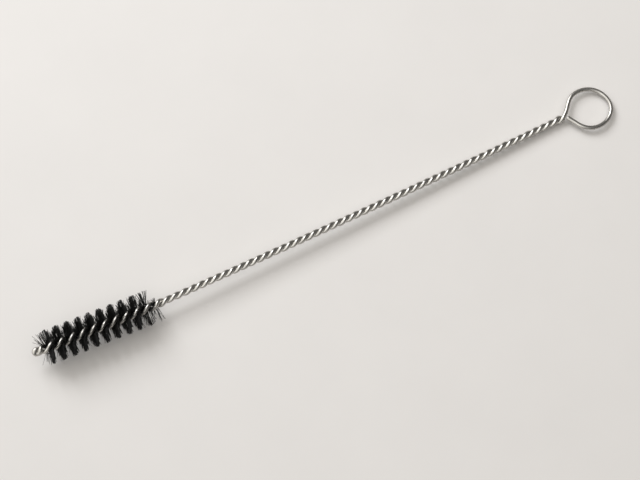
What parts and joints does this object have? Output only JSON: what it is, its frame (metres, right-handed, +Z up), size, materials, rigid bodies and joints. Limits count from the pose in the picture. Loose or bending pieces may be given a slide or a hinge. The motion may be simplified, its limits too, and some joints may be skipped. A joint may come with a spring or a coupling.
{
  "type": "test tube brush",
  "caption": "Small laboratory brush: black nylon bristles held in a twisted steel wire stem that ends in a round hanging ring.",
  "frame": {"origin": "on the table under the middle of the brush, as it lies at rest", "axes": "+X along the stem from the tip towards the ring, +Z up from the table"},
  "size_m": [0.2336, 0.017, 0.0134],
  "materials": {
    "steel_wire": "bright drawn",
    "nylon_bristle": "semi-matt black nylon"
  },
  "bodies": {
    "root": {"twisted_wire": "steel_wire", "bristle_tuft_01": "nylon_bristle", "bristle_tuft_02": "nylon_bristle", "bristle_tuft_03": "nylon_bristle", "bristle_tuft_04": "nylon_bristle", "bristle_tuft_05": "nylon_bristle", "bristle_tuft_06": "nylon_bristle", "bristle_tuft_07": "nylon_bristle", "bristle_tuft_08": "nylon_bristle", "bristle_tuft_09": "nylon_bristle", "bristle_tuft_10": "nylon_bristle"}
  },
  "joints": []
}
